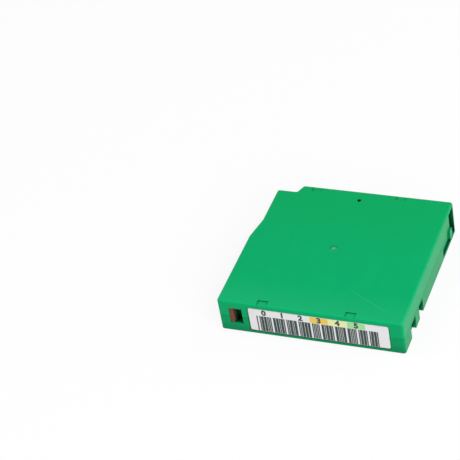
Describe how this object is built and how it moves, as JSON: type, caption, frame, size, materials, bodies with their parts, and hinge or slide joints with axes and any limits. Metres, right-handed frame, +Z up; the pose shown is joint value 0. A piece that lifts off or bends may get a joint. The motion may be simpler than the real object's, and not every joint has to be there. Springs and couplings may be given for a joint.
{
  "type": "data tape cartridge",
  "caption": "Single-reel half-inch data tape cartridge: two moulded shells round a braked reel, with a sprung sliding door, a leader pin, a write-protect slider and a barcode label.",
  "frame": {"origin": "middle of the bottom face", "axes": "+X across the cartridge towards the side with the door, +Y the way it is pushed into a drive, -Y the label face, +Z up"},
  "size_m": [0.1054, 0.102, 0.0215],
  "materials": {
    "shell_green": "fine satin texture",
    "door_green": "satin",
    "label": "coated paper",
    "slider_red": "satin",
    "hub_grey": "satin",
    "flange_natural": "satin",
    "tape": "smooth wound edge",
    "steel": "rolled",
    "spring_steel": "drawn wire",
    "brake_white": "satin",
    "board": "solder resist",
    "copper": "etched foil",
    "chip_black": "moulded"
  },
  "bodies": {
    "case": {"bottom_shell": "shell_green", "top_shell": "shell_green", "shell_screws": "steel", "barcode_label": "label", "memory_board": "board", "memory_aerial": "copper", "memory_chip": "chip_black", "brake_spring": "spring_steel", "leader_pin": "steel", "pin_clamp": "brake_white", "tape_leader": "tape", "pin_spring_lower": "spring_steel", "pin_spring_upper": "spring_steel", "door_spring": "spring_steel"},
    "door": {"door": "door_green"},
    "slider": {"write_protect_slider": "slider_red"},
    "reel": {"reel_hub": "hub_grey", "tape_pack": "tape", "upper_flange": "flange_natural", "coupling_plate": "steel"},
    "brake": {"brake_button": "brake_white"},
    "pad": {"release_pad": "brake_white"}
  },
  "joints": [
    {"name": "door_slide", "type": "slide", "parent": "case", "child": "door", "axis": [0, -1, 0], "range_m": [0, 0.015], "stiffness_N_per_m": 30, "springref_m": -0.01, "deforming": ["door_spring"]},
    {"name": "write_protect_slide", "type": "slide", "parent": "case", "child": "slider", "axis": [1, 0, 0], "range_m": [0, 0.0052]},
    {"name": "reel_spin", "type": "hinge", "parent": "case", "child": "reel", "pos_m": [0, 0, 0], "axis": [0, 0, 1], "continuous": true},
    {"name": "brake_lift", "type": "slide", "parent": "case", "child": "brake", "axis": [0, 0, 1], "range_m": [0, 0.002], "stiffness_N_per_m": 500, "springref_m": -0.004, "deforming": ["brake_spring"]},
    {"name": "pad_lift", "type": "slide", "parent": "reel", "child": "pad", "axis": [0, 0, 1], "range_m": [0, 0.002]}
  ],
  "couplings": [
    {"joint": "pad_lift", "follows": "brake_lift", "ratio": 1}
  ]
}
